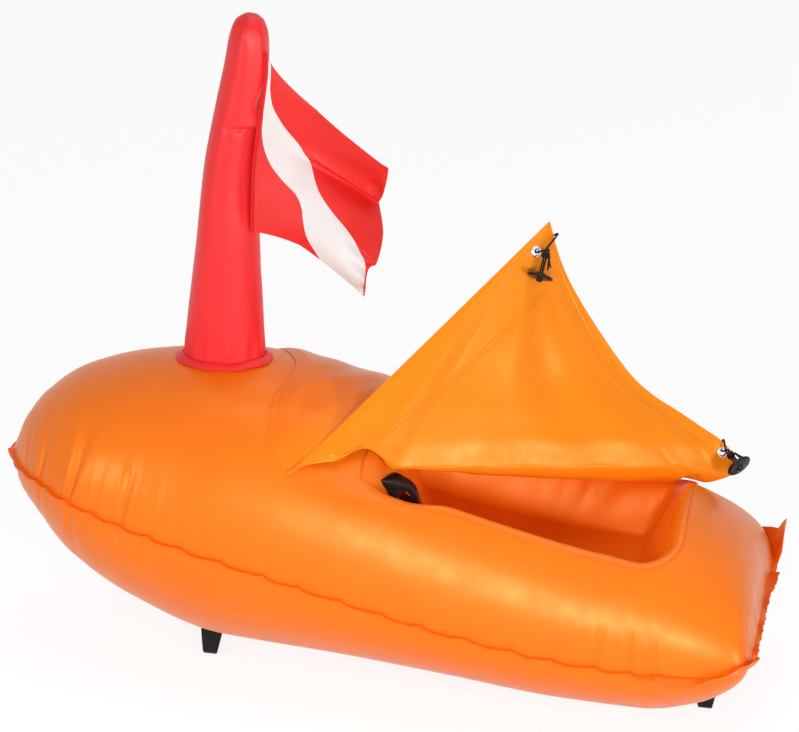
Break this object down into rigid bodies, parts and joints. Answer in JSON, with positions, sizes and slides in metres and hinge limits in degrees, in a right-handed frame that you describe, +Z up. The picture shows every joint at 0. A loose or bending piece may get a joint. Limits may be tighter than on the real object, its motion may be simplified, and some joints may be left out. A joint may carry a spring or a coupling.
{
  "type": "inflatable freediving buoy",
  "caption": "Inflatable torpedo-shaped diving float with a gear well, fold-over well cover, upright inflated mast with a diagonal-stripe diver-down flag, and black tow eyes.",
  "frame": {"origin": "centre of the bounding box on the plane that the two keel tow eyes stand on", "axes": "+X from bow to stern, +Y to the far side that the picture does not show, +Z up along the mast"},
  "size_m": [0.9988, 0.4151, 0.889],
  "materials": {
    "orange_pvc": "semi-gloss welded sheet",
    "orange_cover": "satin coated sheet",
    "red_pvc": "satin inflated sheet",
    "flag_red": "satin coated cloth",
    "flag_white": "satin coated cloth",
    "black_plastic": "glossy moulding",
    "black_cord": "braided elastic",
    "nickel": "bright plated"
  },
  "bodies": {
    "root": {"hull": "orange_pvc", "hull_seam_flange": "orange_pvc", "well_rim_weld": "orange_pvc", "mast": "red_pvc", "mast_base_flange": "red_pvc", "flag": "flag_red", "flag_hoist_tape": "flag_red", "flag_stripe_near": "flag_white", "flag_stripe_far": "flag_white", "cover": "orange_cover", "cover_front_weld": "orange_cover", "cover_hem_weld_side": "orange_cover", "cover_hem_weld_rear": "orange_cover", "cover_eyelet_peak": "nickel", "cover_eyelet_tail": "nickel", "toggle_peak": "black_plastic", "toggle_tail": "black_plastic", "toggle_cord_peak": "black_cord", "toggle_cord_tail": "black_cord", "cord_knot_peak": "black_cord", "cord_knot_tail": "black_cord", "tow_eye_bow": "black_plastic", "tow_eye_bow_patch": "orange_pvc", "tow_eye_stern": "black_plastic", "tow_eye_stern_patch": "orange_pvc", "tow_eye_well": "black_plastic", "hull_valve_base": "orange_pvc", "hull_valve_stem": "black_plastic", "hull_valve_plug": "black_plastic", "mast_valve_stem": "black_plastic", "mast_valve_plug": "black_plastic"}
  },
  "joints": []
}
